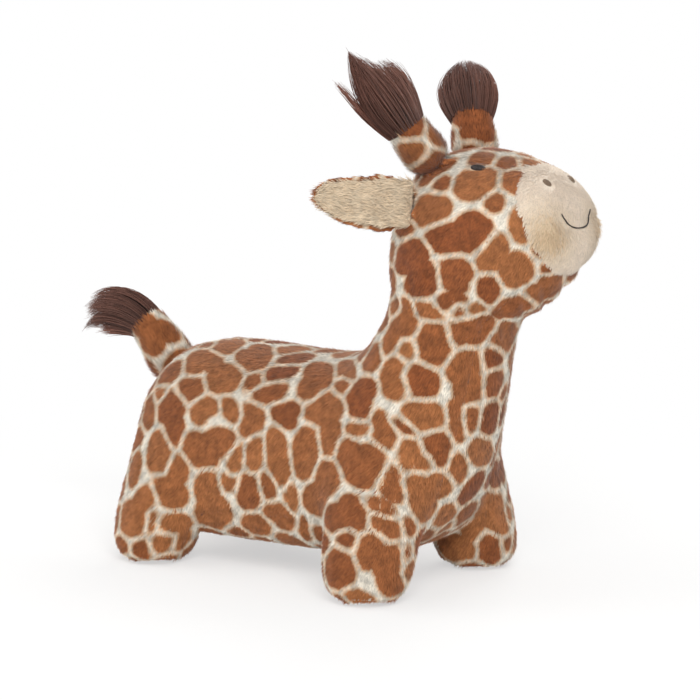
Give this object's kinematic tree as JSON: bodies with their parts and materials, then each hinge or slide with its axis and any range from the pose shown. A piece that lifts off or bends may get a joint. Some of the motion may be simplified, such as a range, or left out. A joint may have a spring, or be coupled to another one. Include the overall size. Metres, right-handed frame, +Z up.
{
  "type": "bouncy ride-on animal",
  "caption": "Inflated rubber hopper in a zipped plush giraffe cover, ridden and bounced on by a small child; tail, horns, ears, zip and valve plug move.",
  "frame": {"origin": "on the floor, under the middle of the object's box", "axes": "+X to the nose, +Y to the animal's left, +Z up"},
  "size_m": [0.7025, 0.2966, 0.5682],
  "materials": {
    "bladder_rubber": "moulded, satin",
    "valve_rubber": "moulded, satin",
    "print_plush": "short printed pile",
    "cream_plush": "soft cream pile",
    "dark_pile": "long dark pile",
    "fibre_filling": "loose fibre",
    "zip_tape_cloth": "woven tape",
    "zip_plastic": "moulded",
    "zip_metal": "plated die casting",
    "dark_thread": "embroidery thread",
    "taupe_thread": "embroidery thread"
  },
  "bodies": {
    "body": {"air_bladder": "bladder_rubber", "valve_seat": "valve_rubber", "flank_panel_right": "print_plush", "flank_panel_left": "print_plush", "belly_panel_right": "print_plush", "belly_panel_left": "print_plush", "chest_gusset": "print_plush", "head_side_right": "print_plush", "head_side_left": "print_plush", "crown_gusset": "print_plush", "jaw_gusset": "print_plush", "muzzle_upper": "cream_plush", "muzzle_lower": "cream_plush", "sole_rear_right": "print_plush", "sole_front_right": "print_plush", "sole_rear_left": "print_plush", "sole_front_left": "print_plush", "zip_tape_right": "zip_tape_cloth", "zip_tape_left": "zip_tape_cloth", "zip_end_stop": "zip_plastic", "eye_right": "dark_thread", "eye_left": "dark_thread", "nostril_right": "taupe_thread", "nostril_left": "taupe_thread", "mouth_stitch": "dark_thread"},
    "tail": {"tail_cover": "print_plush", "tail_filling": "fibre_filling", "tail_tuft": "dark_pile"},
    "horn_right": {"horn_right_cover": "print_plush", "horn_right_filling": "fibre_filling", "horn_right_tuft": "dark_pile"},
    "horn_left": {"horn_left_cover": "print_plush", "horn_left_filling": "fibre_filling", "horn_left_tuft": "dark_pile"},
    "ear_right": {"ear_shell_right": "print_plush", "ear_lining_right": "cream_plush"},
    "ear_left": {"ear_shell_left": "print_plush", "ear_lining_left": "cream_plush"},
    "zip_slider": {"zip_slider": "zip_metal"},
    "zip_pull": {"zip_pull": "zip_metal"},
    "valve_plug": {"valve_plug": "valve_rubber"}
  },
  "joints": [
    {"name": "tail_swing", "type": "hinge", "parent": "body", "child": "tail", "pos_m": [-0.21202, 0, 0.20744], "axis": [0.7317, 0, 0.6816], "range_deg": [-30, 30], "stiffness_Nm_per_rad": 0.4},
    {"name": "horn_right_flex", "type": "hinge", "parent": "body", "child": "horn_right", "pos_m": [0.18013, -0.04481, 0.46954], "axis": [0, 1, 0], "range_deg": [-15, 15], "stiffness_Nm_per_rad": 0.4},
    {"name": "horn_left_flex", "type": "hinge", "parent": "body", "child": "horn_left", "pos_m": [0.18013, 0.04481, 0.46954], "axis": [0, 1, 0], "range_deg": [-15, 15], "stiffness_Nm_per_rad": 0.4},
    {"name": "ear_right_flap", "type": "hinge", "parent": "body", "child": "ear_right", "pos_m": [0.17558, -0.06736, 0.41441], "axis": [-0.1595, 0.2941, 0.9424], "range_deg": [-25, 40], "stiffness_Nm_per_rad": 0.1},
    {"name": "ear_left_flap", "type": "hinge", "parent": "body", "child": "ear_left", "pos_m": [0.17558, 0.06736, 0.41441], "axis": [0.1595, 0.2941, -0.9424], "range_deg": [-25, 40], "stiffness_Nm_per_rad": 0.1},
    {"name": "zip_slide", "type": "slide", "parent": "body", "child": "zip_slider", "axis": [-1, 0, 0], "range_m": [0, 0.135], "deforming": ["zip_tape_right", "zip_tape_left"]},
    {"name": "zip_pull_hinge", "type": "hinge", "parent": "zip_slider", "child": "zip_pull", "pos_m": [0.049, 0, 0.0194], "axis": [0, 1, 0], "range_deg": [-85, 85]},
    {"name": "valve_plug_slide", "type": "slide", "parent": "body", "child": "valve_plug", "axis": [0, 0, -1], "range_m": [0, 0.014]}
  ]
}
